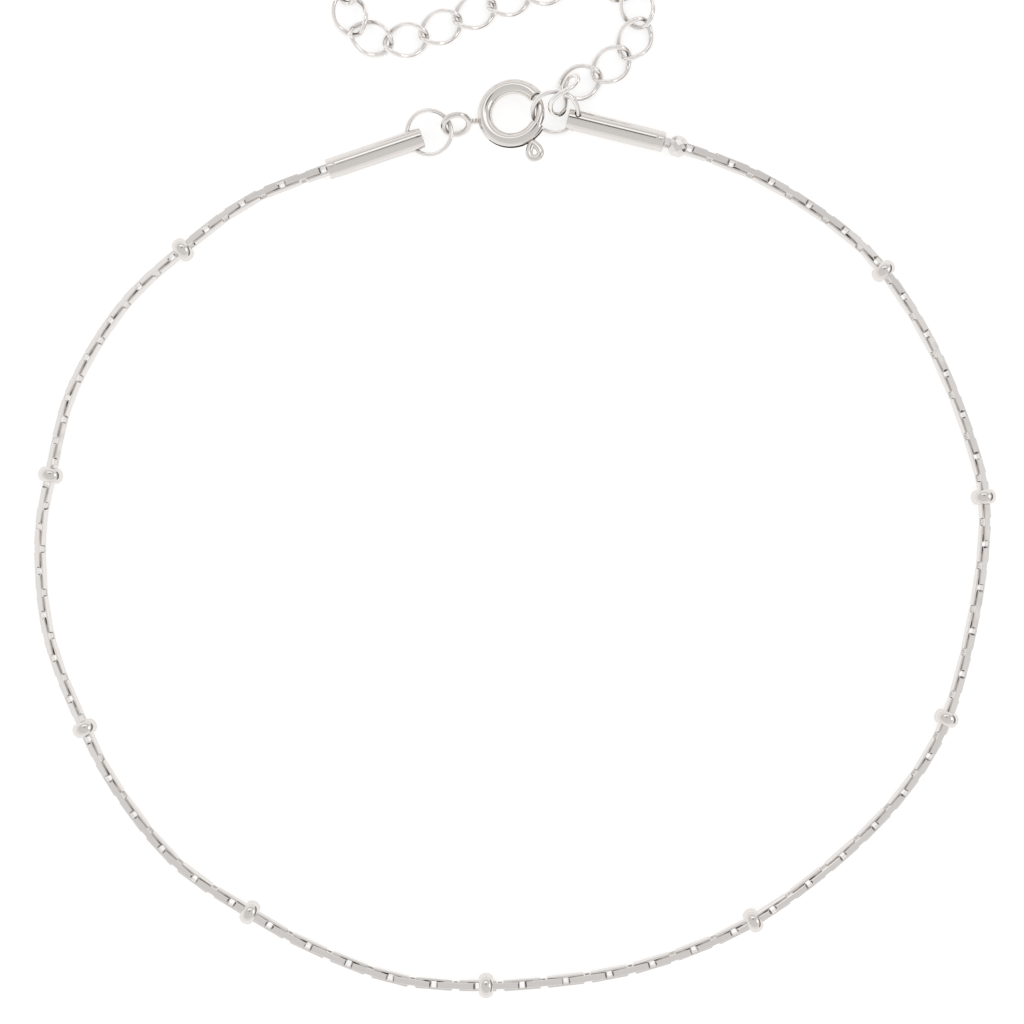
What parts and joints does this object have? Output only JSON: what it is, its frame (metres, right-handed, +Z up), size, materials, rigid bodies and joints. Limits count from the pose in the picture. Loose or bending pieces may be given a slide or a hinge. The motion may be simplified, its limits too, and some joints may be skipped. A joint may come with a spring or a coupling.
{
  "type": "fine chain bracelet with extender",
  "caption": "Fine polished silver box chain bracelet with threaded round beads, crimped tube ends, a spring ring clasp and a curb link extender, lying flat as an open loop.",
  "frame": {"origin": "centre of the bottom of the bounding box, on the surface that the bracelet lies on", "axes": "+Z up from that surface, +Y from the middle of the chain towards the clasp and the extender, +X to the right as seen from above"},
  "size_m": [0.0672, 0.0726, 0.0028],
  "materials": {
    "silver": "polished silver",
    "cut_silver": "polished silver with bright flat faces"
  },
  "bodies": {
    "bracelet": {"chain": "cut_silver", "bead_01": "silver", "bead_02": "silver", "bead_03": "silver", "bead_04": "silver", "bead_05": "silver", "bead_06": "silver", "bead_07": "silver", "bead_08": "silver", "bead_09": "silver", "bead_10": "silver", "end_cap_left": "silver", "end_cap_right": "silver", "jump_ring_left": "silver", "jump_ring_right": "silver", "clasp_body": "silver", "extender_link_01": "silver", "extender_link_02": "silver", "extender_link_03": "silver", "extender_link_04": "silver", "extender_link_05": "silver", "extender_link_06": "silver", "extender_link_07": "silver", "extender_link_08": "silver", "extender_link_09": "silver", "extender_link_10": "silver", "extender_link_11": "silver", "extender_link_12": "silver", "extender_link_13": "silver", "extender_link_14": "silver", "extender_link_15": "silver"},
    "bolt": {"clasp_trigger": "silver"}
  },
  "joints": [
    {"name": "bolt_draw", "type": "hinge", "parent": "bracelet", "child": "bolt", "pos_m": [-0.00015, 0.02536, 0.00109], "axis": [0.1772, -0.2111, -0.9613], "range_deg": [0, 64], "stiffness_Nm_per_rad": 0.002, "springref_deg": -34.38}
  ]
}
